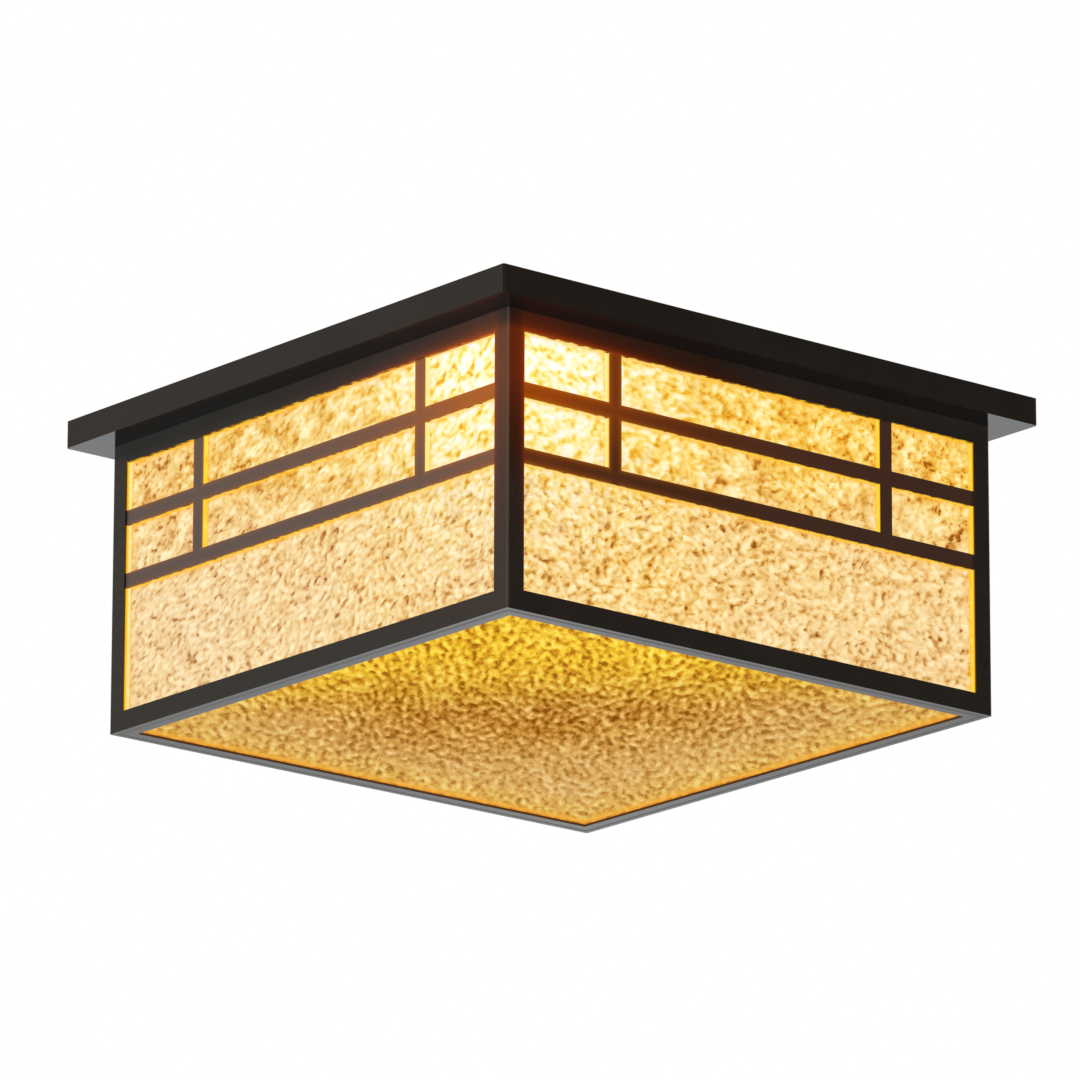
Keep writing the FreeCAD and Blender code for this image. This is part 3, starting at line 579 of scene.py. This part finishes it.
def sheet_mesh(name, across, up, out, sizes, pitch, seed, edges, bumps, stretch, heading=0.0):
    """Closed glass sheet: a hammered outer face, sunk from the sheet's true plane, and flat other faces.

    across, up and out are its unit directions. sizes holds (low, high) along each of them, the last pair
    from the inner to the outer face. bumps is the distance from one bump to the next.
    """
    (u0, u1), (v0, v1), (inner, outer) = sizes
    columns = 2 * int(round((u1 - u0) / pitch / 2))
    rows = 2 * int(round((v1 - v0) / pitch / 2))
    u = np.linspace(u0, u1, columns + 1)[None, :].repeat(rows + 1, 0)
    v = np.linspace(v0, v1, rows + 1)[:, None].repeat(columns + 1, 1)
    step = ((v1 - v0) / rows, (u1 - u0) / columns)
    grain = relief_noise(u.shape, step, seed, bumps, stretch, heading)
    swell = relief_noise(u.shape, step, seed + 50, BROAD_BUMPS, stretch, heading)
    # the rim of the sheet is left flat
    rim = np.minimum(np.minimum(u - u0, u1 - u), np.minimum(v - v0, v1 - v))
    sunk = RELIEF_DEPTH * (0.6 * (1 - grain) + 0.4 * (1 - swell)) * np.clip(rim / (2 * MM), 0, 1)
    axes = [np.array(axis, float) for axis in (across, up, out)]

    def placed(a, b, height):
        return (a[..., None] * axes[0] + b[..., None] * axes[1] + height[..., None] * axes[2]).reshape(-1, 3)

    def quads(index):
        return np.stack([index[:-1, :-1], index[:-1, 1:], index[1:, 1:], index[1:, :-1]], -1).reshape(-1, 4)

    # the flat back has half as many rows and columns, and carries the same pattern
    back_u, back_v = u[::2, ::2], v[::2, ::2]
    back = placed(back_u, back_v, np.full(back_u.shape, inner))
    points = np.concatenate([placed(u, v, outer - sunk), back])
    index = np.arange(u.size).reshape(u.shape)
    back_index = np.arange(back_u.size).reshape(back_u.shape) + u.size
    faces = quads(index).tolist() + quads(back_index)[:, ::-1].tolist()
    smooth_faces = index[:-1, :-1].size
    for pick in (lambda i: i[0, :], lambda i: i[:, -1], lambda i: i[-1, ::-1], lambda i: i[::-1, 0]):
        faces.append(pick(back_index).tolist() + pick(index)[::-1].tolist())
    mesh = bpy.data.meshes.new(name)
    mesh.from_pydata(points.tolist(), [], faces)
    mesh.update()
    # what the material reads at each point: the two reliefs, the distance to an edge and the place
    for label, values in (("grain", grain), ("swell", swell), ("edge", edges(u, v) / MM)):
        layer = mesh.attributes.new(label, "FLOAT", "POINT")
        both = np.concatenate([values.ravel(), values[::2, ::2].ravel()])
        layer.data.foreach_set("value", both.astype(np.float32))
    flat = np.stack([points @ axes[0], points @ axes[1], np.full(len(points), seed * MM)], -1)
    layer = mesh.attributes.new("sheet", "FLOAT_VECTOR", "POINT")
    layer.data.foreach_set("vector", flat.astype(np.float32).ravel())
    smooth = np.zeros(len(mesh.polygons), bool)
    smooth[:smooth_faces] = True
    mesh.polygons.foreach_set("use_smooth", smooth)
    return mesh


# ---------------------------------------------------------------- colours of the hammered glass, painted in as its glow
GLASS_BODY = colour(52, 34, 14)

# Painted glow, in tones from the hollows to the bumps: low and high on the sides, beside a lamp, and next to
# its end
PALE_FRONT = shades((0.00, 148, 98, 54), (0.12, 190, 136, 84), (0.26, 224, 182, 126),
                    (0.40, 239, 206, 153), (0.56, 247, 219, 170), (0.80, 255, 238, 196))
WARM_FRONT = shades((0.00, 164, 92, 20), (0.12, 204, 132, 38), (0.26, 228, 170, 72),
                    (0.40, 241, 196, 104), (0.56, 249, 216, 138), (0.80, 255, 245, 192))
PALE_RIGHT = shades((0.00, 140, 82, 28), (0.12, 184, 122, 54), (0.26, 222, 172, 100),
                    (0.40, 240, 202, 136), (0.56, 248, 216, 158), (0.80, 255, 236, 186))
WARM_RIGHT = shades((0.00, 170, 88, 4), (0.12, 210, 128, 16), (0.26, 234, 168, 42),
                    (0.40, 245, 194, 74), (0.56, 253, 217, 112), (0.80, 255, 247, 188))
GLOW = shades((0.06, 224, 140, 20), (0.22, 244, 186, 54), (0.38, 252, 216, 98),
              (0.54, 255, 237, 146), (0.78, 255, 253, 218))
BLAZE = shades((0.10, 244, 178, 40), (0.24, 252, 222, 92), (0.38, 254, 242, 154),
               (0.52, 255, 252, 204), (0.74, 255, 255, 250))
EDGE_AMBER = colour(255, 184, 48)

# Painted glow of the bottom glass, near the front lamp, further back and far from the lamp
GOLD = shades((0.16, 166, 104, 14), (0.34, 216, 156, 34), (0.50, 237, 188, 46), (0.66, 250, 210, 58),
              (0.86, 255, 232, 100))
BROWN = shades((0.16, 130, 72, 8), (0.34, 170, 110, 32), (0.50, 195, 137, 54), (0.66, 214, 160, 76),
               (0.86, 242, 200, 120))
TAN = shades((0.16, 176, 122, 54), (0.34, 204, 155, 82), (0.50, 217, 172, 98), (0.66, 223, 183, 112),
             (0.86, 236, 206, 146))
WINDOW_AMBER = colour(240, 176, 62)
GOLDEN_PLACE = (0.055, -0.055, CAGE_BOTTOM)           # the bottom turns paler with the distance from here

SWIRL_SCALE = 70.0
DASH_LEAN = -0.62                                     # radians, on the sheet
STROKE_LEAN = -0.4
WARM_TOP = (-0.100, -0.035)                           # heights between which the painted glow of the glass turns to honey


def side_glass_tone(g, upper):
    """Light and dark of the relief with the finer grain and patches in it, and the fine grain alone."""
    fine = g.step(g.noise(300.0, 2.0, 0.5, 0.4, g.sheet(DASH_LEAN, 1.4, 0.008)), 0.34, 0.66)
    patches = g.step(g.noise(75.0, 3.0, 0.6, 0.5), 0.30, 0.70)
    coarse = g.mix(g.times(upper, 0.45), g.attribute("grain"), g.attribute("swell"))
    fine_share = g.take(0.36, g.times(upper, 0.16))
    tone = g.add(g.times(fine, fine_share), g.times(patches, g.take(0.58, fine_share)))
    return g.add(g.times(coarse, 0.42), tone), fine


def side_glass_marks(g, upper, near):
    """Short leaning dashes everywhere, longer strokes and blots in the upper rows, all fewer near a lamp."""
    dashes = g.step(g.noise(470.0, 1.0, 0.5, 0.0, g.sheet(DASH_LEAN, 1.8, 0.010)), 0.57, 0.70)
    clusters = g.step(g.noise(46.0, 2.0, 0.6), 0.34, 0.62)
    dashes = g.times(dashes, g.add(0.17, g.times(clusters, 0.13)))
    strokes = g.step(g.noise(230.0, 2.0, 0.5, 0.8, g.sheet(STROKE_LEAN, 1.6, 0.016)), 0.55, 0.65)
    strokes = g.times(strokes, g.rest(g.step(g.attribute("grain"), 0.45, 0.85)))
    strokes = g.times(strokes, g.add(0.04, g.times(upper, 0.24)))
    blots = g.rest(g.step(g.cells(180.0), 0.10, 0.26))
    blots = g.times(blots, g.step(g.noise(120.0, 2.0), 0.50, 0.58))
    blots = g.times(blots, g.add(0.07, g.times(upper, 0.27)))
    calm = g.rest(g.times(near, g.add(0.02, g.times(upper, 0.90))))
    return g.times(g.add(dashes, g.add(strokes, blots)), calm)


def side_glass_material(name, pale, warm):
    """Hammered glass lit by a painted glow: cream low down and far out, honey towards the top, near white
    beside a lamp.
    """
    g = Graph(name)
    height = g.here()[2]
    upper = g.step(height, LOWER_BAR[0] - 8 * MM, LOWER_BAR[1] + 4 * MM)
    near = hot(g, WARM_GLASS)
    tone, fine = side_glass_tone(g, upper)
    # the contrast is lower in the big pane, away from the lamps
    quiet = g.rest(g.times(g.times(g.rest(upper), g.rest(near)), 0.22))
    marks = g.times(side_glass_marks(g, upper, near), quiet)
    tone = g.take(g.add(0.5, g.times(g.take(tone, 0.5), quiet)), marks)
    warmth = g.add(g.times(g.step(height, *WARM_TOP), 0.78), g.times(near, 0.65))
    warmth = g.add(warmth, g.times(g.waver(18.0), 0.9))
    shade = g.mix(warmth, g.ramp(tone, pale), g.ramp(tone, warm))
    # beside a lamp only cream blobs and yellow squiggles are left
    blobs = g.add(g.times(g.attribute("grain"), 0.33), g.times(fine, 0.25))
    blobs = g.add(g.times(g.attribute("swell"), 0.42), blobs)
    beside_lamp = g.times(hot(g, PALE_GLASS), g.add(0.25, g.times(upper, 0.75)))
    shade = g.mix(beside_lamp, shade, g.ramp(g.take(blobs, g.times(marks, 0.5)), GLOW))
    shade = g.mix(g.times(hot(g, WHITE_GLASS), 1.25), shade, g.ramp(blobs, BLAZE))
    # an amber fringe along every bar, fainter beside a lamp
    edge = g.add(g.attribute("edge"), g.times(g.waver(300.0), 2.2))
    fringe = g.times(g.fade(g.most(edge, 0.0), 0.8), g.take(0.75, g.times(hot(g, FAINT_FRINGE), 0.5)))
    shade = g.mix(fringe, shade, EDGE_AMBER)
    return g.finish(Base_Color=GLASS_BODY, Roughness=0.3, IOR=1.5, Specular_IOR_Level=0.04,
                    Emission_Color=shade, Emission_Strength=1.0)


def bottom_glass_material():
    """Hammered glass lit by a painted glow, seen against the light: dark dots and bright gold, paler away
    from a lamp.
    """
    g = Graph("amber_glass_glow_bottom")
    drawn = g.turned(VIEW_TURN, (1.0, BOTTOM_STRETCH, 1.0))
    fine = g.step(g.noise(380.0, 2.0, 0.6, 0.6, drawn), 0.35, 0.65)
    patches = g.step(g.noise(60.0, 3.0, 0.6, 0.4, drawn), 0.3, 0.7)
    tone = g.add(g.times(g.attribute("grain"), 0.50), g.times(g.attribute("swell"), 0.10))
    tone = g.add(tone, g.add(g.times(fine, 0.26), g.times(patches, 0.14)))
    gold = g.ramp(tone, GOLD)
    clouds = g.times(g.waver(15.0), 0.6)
    x, y, _ = g.here()
    diagonal = g.times(g.take(x, y), math.sqrt(0.5))
    front = g.step(diagonal, 0.000, 0.130)
    far = g.step(g.distance(GOLDEN_PLACE), 0.085, 0.195)
    shade = g.mix(g.add(front, clouds), g.ramp(tone, BROWN), gold)
    shade = g.mix(g.add(far, clouds), shade, g.ramp(tone, TAN))
    # more golden towards the window's edge, and amber along it
    edge = g.attribute("edge")
    shade = g.mix(g.times(g.rest(g.step(edge, 4.0, 46.0)), 0.3), shade, gold)
    edge = g.add(edge, g.times(g.waver(240.0), 6.0))
    shade = g.mix(g.times(g.rest(g.step(edge, 1.0, 8.0)), 0.75), shade, WINDOW_AMBER)
    return g.finish(Base_Color=GLASS_BODY, Roughness=0.3, IOR=1.5, Specular_IOR_Level=0.0,
                    Emission_Color=shade, Emission_Strength=1.0)


def new_object(name, data):
    """An object in the scene with that data."""
    thing = bpy.data.objects.new(name, data)
    bpy.context.scene.collection.objects.link(thing)
    return thing


def make_glass():
    """The four side sheets and the bottom sheet, each in the place of its plain solid."""
    # two copies of the painted glow: paler for front and left, redder for right and back
    materials = {"front": side_glass_material("amber_glass_glow_front", PALE_FRONT, WARM_FRONT),
                 "right": side_glass_material("amber_glass_glow_right", PALE_RIGHT, WARM_RIGHT)}
    materials["back"] = materials["right"]
    materials["left"] = materials["front"]
    low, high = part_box("glass_front")
    sizes = ((-high.x, high.x), (low.z, high.z), (-high.y, -low.y))
    first_seed = 11
    for number, (side, degrees) in enumerate(SIDES.items()):
        turn = Matrix.Rotation(math.radians(degrees), 3, "Z")
        mesh = sheet_mesh("hammered_glass_" + side, turn @ Vector((1, 0, 0)), (0, 0, 1),
                          turn @ Vector((0, -1, 0)), sizes, SIDE_PITCH, first_seed + number,
                          light_edges, SIDE_BUMPS, SIDE_STRETCH)
        mesh.materials.append(materials[side])
        sheet = new_object(mesh.name, mesh)
        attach(sheet, "lantern")
        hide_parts("glass_" + side)
    low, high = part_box("door_glass")
    sizes = ((low.x, high.x), (low.y, high.y), (-high.z, -low.z))
    bottom_seed = 31
    mesh = sheet_mesh("hammered_glass_bottom", (1, 0, 0), (0, -1, 0), (0, 0, -1), sizes, BOTTOM_PITCH,
                      bottom_seed, window_edges, BOTTOM_BUMPS, BOTTOM_STRETCH, math.pi / 2 - VIEW_TURN)
    mesh.materials.append(bottom_glass_material())
    sheet = new_object(mesh.name, mesh)
    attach(sheet, "bottom_door")
    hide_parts("door_glass")


# ---------------------------------------------------------------- the other materials
# Painted glow of the seal: bright, shaded at the bottom and where it looks down, and pale beside the posts
SEAL_BODY = colour(90, 50, 10)
SEAL_BRIGHT = shades((0.32, 250, 186, 30), (0.50, 255, 212, 50), (0.70, 255, 232, 100))
SEAL_SHADED_GLOW = shades((0.32, 186, 108, 22), (0.50, 216, 140, 34), (0.70, 238, 170, 56))
SEAL_PALE = shades((0.32, 250, 214, 130), (0.70, 255, 238, 176))


def seal_material():
    """Silicone behind the bars, lit through by a painted glow; painted shade makes it a dimmer, deeper amber
    at the bottom and where it looks down.
    """
    g = Graph("amber_seal_glow")
    _, y, z = g.here()
    wave = g.noise(220.0, 3.0, 0.6)
    bright = g.mix(hot(g, PALE_SEAL), g.ramp(wave, SEAL_BRIGHT), HOT_WALL_GLOW)
    shaded_glow = g.ramp(wave, SEAL_SHADED_GLOW)
    # painted shade: a dimmer, deeper amber at the bottom and where the seal looks down
    glow = g.mix(g.step(z, CAGE_BOTTOM + 3 * MM, CAGE_BOTTOM + 7 * MM), shaded_glow, bright)
    glow = g.mix(g.times(g.looks_down(), 0.4), glow, shaded_glow)
    # a paler painted glow beside the posts of the front and back
    beside_post = g.times(g.over(g.inner(), POST_INNER - 1.2 * MM), g.over(z, CAGE_BOTTOM + 7 * MM))
    beside_post = g.times(beside_post, g.over(g.size(y), SEAL_PLANE - 1.7 * MM))
    glow = g.mix(beside_post, glow, g.ramp(wave, SEAL_PALE))
    return g.finish(Base_Color=SEAL_BODY, Roughness=0.4, Normal=g.bump(wave, 0.1 * MM, 0.4),
                    Emission_Color=glow, Emission_Strength=1.0)


def metal(name, dark, light, rough):
    """Plated or plain metal: cloudy tone, fine tooling marks and a slightly uneven gloss."""
    g = Graph(name)
    cloud = g.noise(160.0, 4.0, 0.6)
    marks = g.noise(1000.0, 3.0, 0.6, vector=g.turned(0, (1.0, 1.0, 3.0)))
    tone = g.add(g.times(cloud, 0.6), g.times(marks, 0.4))
    base = g.ramp(tone, shades((0.36, *dark), (0.62, *light)))
    roughness = g.add(rough, g.times(g.take(cloud, 0.5), 0.18))
    return g.finish(Base_Color=base, Metallic=1.0, Roughness=roughness, Normal=g.bump(marks, 0.03 * MM, 0.4))


def coated(name, dark, light, rough, scale=300.0, bump=0.02 * MM, coat=0.0):
    """Non-metal with a mottled tone and a fine surface texture."""
    g = Graph(name)
    tone = g.noise(60.0, 4.0, 0.6)
    texture = g.noise(scale, 3.0, 0.6)
    base = g.ramp(tone, shades((0.35, *dark), (0.65, *light)))
    roughness = g.add(rough, g.times(g.take(texture, 0.5), 0.15))
    return g.finish(Base_Color=base, Roughness=roughness, Coat_Weight=coat, Coat_Roughness=0.08,
                    Normal=g.bump(texture, bump, 0.5))


def foam_material():
    """Closed-cell foam of the gasket: dark, dull and full of pores."""
    g = Graph("gasket_foam")
    pores = g.cells(900.0)
    # painted shade: the pores, the hollows of its bump, are darker than the foam between them
    base = g.ramp(pores, shades((0.10, 22, 22, 23), (0.45, 52, 52, 53), (0.75, 66, 66, 66)))
    return g.finish(Base_Color=base, Roughness=0.95, Normal=g.bump(pores, 0.5 * MM, 0.8))


def lamp_glass_material():
    """Clear glass of the lamps, slightly warm and uneven, with a faint glow from within."""
    g = Graph("lamp_globe_glass")
    tint = g.ramp(g.noise(90.0, 3.0, 0.5), shades((0.35, 255, 240, 208), (0.65, 255, 247, 226)))
    return g.finish(Base_Color=tint, Roughness=0.04, Transmission_Weight=1.0, IOR=1.45,
                    Emission_Color=colour(255, 214, 140), Emission_Strength=0.12,
                    Normal=g.bump(g.noise(40.0, 2.0), 0.3 * MM, 0.15))


def filament_material():
    """Glowing filament sticks, a little brighter from bead to bead."""
    g = Graph("lit_filament")
    glow = g.ramp(g.noise(700.0, 2.0), shades((0.35, 255, 196, 96), (0.60, 255, 240, 190)))
    return g.finish(Base_Color=colour(240, 190, 80), Roughness=0.5, Emission_Color=glow,
                    Emission_Strength=2.5)


def dress_frame_nodes():
    """Finish of every node that is shown as it is, by its slot in the record."""
    slots = {row["node"]: row["material_slot"] for row in frame["record"]["subparts"]}
    canopy = canopy_paint_and_painted_light()
    lit_frame = cage_paint_and_painted_light("bronze_paint_and_painted_light_beside_lights", False)
    lit_bars = cage_paint_and_painted_light("bronze_paint_and_painted_light_before_lights", True)
    finishes = {
        "bronze_paint": bronze_paint(),
        "amber_silicone": seal_material(),
        "zinc_steel": metal("zinc_steel", (150, 150, 146), (206, 205, 198), 0.36),
        "nickel": metal("nickel_plate", (176, 170, 158), (222, 216, 204), 0.2),
        "brass": metal("brass", (150, 112, 48), (214, 172, 90), 0.28),
        "cap_metal": metal("lamp_cap_metal", (160, 160, 158), (218, 217, 212), 0.26),
        "green_screw": metal("green_plate", (22, 92, 44), (46, 140, 74), 0.34),
        "white_enamel": coated("white_enamel", (226, 222, 210), (242, 239, 230), 0.32, coat=0.3),
        "porcelain": coated("porcelain", (232, 228, 216), (246, 243, 234), 0.22, 180.0, coat=0.5),
        "black_rubber": coated("black_rubber", (24, 24, 25), (40, 40, 41), 0.75, 700.0, 0.06 * MM),
        "black_insulator": coated("black_insulator", (16, 16, 18), (30, 30, 33), 0.2, coat=0.6),
        "gasket_foam": foam_material(),
        "bulb_glass": lamp_glass_material(),
        "filament": filament_material(),
    }
    for name, node in frame["nodes"].items():
        if node.hide_render:
            continue
        finish = finishes[slots[name]]
        if name.startswith(("post_", "top_rail_", "bottom_rail_")) or name == "door_frame":
            finish = lit_frame
        elif name.startswith("lattice_"):
            finish = lit_bars
        elif name == "canopy_pan":
            finish = canopy
        node.data.materials.clear()
        node.data.materials.append(finish)


# ---------------------------------------------------------------- room, light and camera
SWEEP_LIGHT = (1.0, 1.015, 1.03, 1)
CEILING_LIGHT = (0.15, 0.135, 0.12, 1)
HORIZON = (-0.12, 0.12)                               # where the one turns into the other
WHITE = (1, 1, 1, 1)
FLOOR_EXTRA = 0.72                                    # what the camera sees on top of the floor's own shade


def floor_material():
    """Pale floor, shown brighter than its light makes it, which adds no light to the object."""
    g = Graph("pale_floor")
    shade = g.ramp(g.noise(0.6, 3.0), shades((0.35, 232, 234, 238), (0.65, 240, 242, 246)))
    shown = g.times(g.make("ShaderNodeLightPath").outputs["Is Camera Ray"], FLOOR_EXTRA)
    return g.finish(Base_Color=shade, Roughness=0.8, Emission_Color=shade, Emission_Strength=shown)


def make_floor():
    """A square floor, far enough below for a camera that looks up steeply at the open door."""
    mesh = bpy.data.meshes.new("floor")
    reach, height = 11.0, -9.0
    corners = [(-reach, -reach, height), (reach, -reach, height), (reach, reach, height),
               (-reach, reach, height)]
    mesh.from_pydata(corners, [], [(0, 1, 2, 3)])
    mesh.materials.append(floor_material())
    floor = new_object("floor", mesh)


def make_world():
    """White behind the object. What lights it is bright below, like a pale sweep, and dim above."""
    world = bpy.data.worlds.new("studio")
    bpy.context.scene.world = world
    g = Graph(world)
    rise = g.step(g.split(g.place.outputs["Generated"])[2], *HORIZON)
    tint = g.ramp(rise, [(0.0, SWEEP_LIGHT), (1.0, CEILING_LIGHT)])
    rays = g.make("ShaderNodeLightPath").outputs
    seen = g.most(rays["Is Camera Ray"], rays["Is Transmission Ray"])
    soft = g.make("ShaderNodeBackground", {"Color": tint, "Strength": 1.0})
    white = g.make("ShaderNodeBackground", {"Color": WHITE, "Strength": 1.0})
    either = g.make("ShaderNodeMixShader", {0: seen, 1: soft.outputs[0], 2: white.outputs[0]})
    g.make("ShaderNodeOutputWorld", {0: either.outputs[0]})


def aim(thing, turn):
    """Turn a lamp or camera by a quaternion."""
    thing.rotation_mode = "QUATERNION"
    thing.rotation_quaternion = turn


def make_lamp(name, place, target, size, power, tint):
    """A large square studio lamp that looks at the target. Its size is in metres, its power in watts."""
    data = bpy.data.lights.new(name, "AREA")
    data.color = tint
    data.shape = "SQUARE"
    data.size = size
    data.energy = power
    lamp = new_object(name, data)
    lamp.location = place
    aim(lamp, (Vector(target) - Vector(place)).to_track_quat("-Z", "Y"))


def make_camera():
    """Long lens from below, towards the front right corner."""
    azimuth, elevation, roll = math.radians(50.2506), math.radians(-15.9433), math.radians(0.1535)
    distance, aside, above = 4.45479, -0.00429, 0.088815
    back = Vector((math.sin(azimuth) * math.cos(elevation), -math.cos(azimuth) * math.cos(elevation),
                   math.sin(elevation)))
    right = Vector((math.cos(azimuth), math.sin(azimuth), 0))
    up = back.cross(right)
    tilted_right = right * math.cos(roll) + up * math.sin(roll)
    tilted_up = up * math.cos(roll) - right * math.sin(roll)
    data = bpy.data.cameras.new("camera")
    data.sensor_width = 36.0
    data.lens = 310.08
    data.clip_end = 100.0
    camera = new_object("camera", data)
    aim(camera, Matrix((tilted_right, tilted_up, back)).transposed().to_quaternion())
    foot = Vector((0, 0, CAGE_BOTTOM))
    camera.location = foot + tilted_right * aside + tilted_up * above + back * distance
    bpy.context.scene.camera = camera


make_glass()
dress_frame_nodes()
make_floor()
make_world()
make_lamp("key", place=(-2.6, -2.15, 0.85), target=(0, 0, -0.08), size=3.6, power=19.0,
          tint=(1.0, 0.90, 0.78))
make_lamp("top", place=(0.4, 0.4, 3.0), target=(0, 0, 0), size=2.2, power=26.0,
          tint=(1.0, 0.97, 0.93))
make_camera()
bpy.context.scene.view_settings.view_transform = "Standard"
